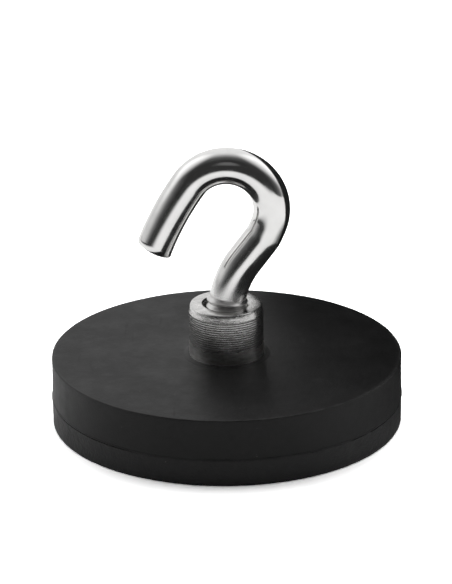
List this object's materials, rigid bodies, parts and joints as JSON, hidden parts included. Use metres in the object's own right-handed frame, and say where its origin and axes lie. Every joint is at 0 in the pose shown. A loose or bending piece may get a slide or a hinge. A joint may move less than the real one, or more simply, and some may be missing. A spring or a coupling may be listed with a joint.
{
  "type": "rubber-coated hook magnet",
  "caption": "Flat round rubber-coated magnet with a threaded metal boss and an open screw hook for hanging or retrieving steel objects.",
  "frame": {"origin": "centre of the working face, on the axis of the disc and boss", "axes": "+Z along the boss, away from the working face; the hook is bent in the XZ plane and opens towards -X"},
  "size_m": [0.0662, 0.0662, 0.054],
  "materials": {
    "black_rubber": "matte",
    "plated_hook": "polished",
    "plated_boss": "satin",
    "mild_steel": "satin",
    "nickel_magnet": "satin"
  },
  "bodies": {
    "magnet": {"upper_rubber_cover": "black_rubber", "lower_rubber_cover": "black_rubber", "threaded_boss": "plated_boss", "steel_plate": "mild_steel", "magnet_front_left": "nickel_magnet", "magnet_front_right": "nickel_magnet", "magnet_back_left": "nickel_magnet", "magnet_back_right": "nickel_magnet"},
    "hook": {"hook": "plated_hook"}
  },
  "joints": [
    {"name": "hook_turn", "type": "hinge", "parent": "magnet", "child": "hook", "pos_m": [0, 0, 0.0232], "axis": [0, 0, 1], "range_deg": [0, 2700]}
  ]
}
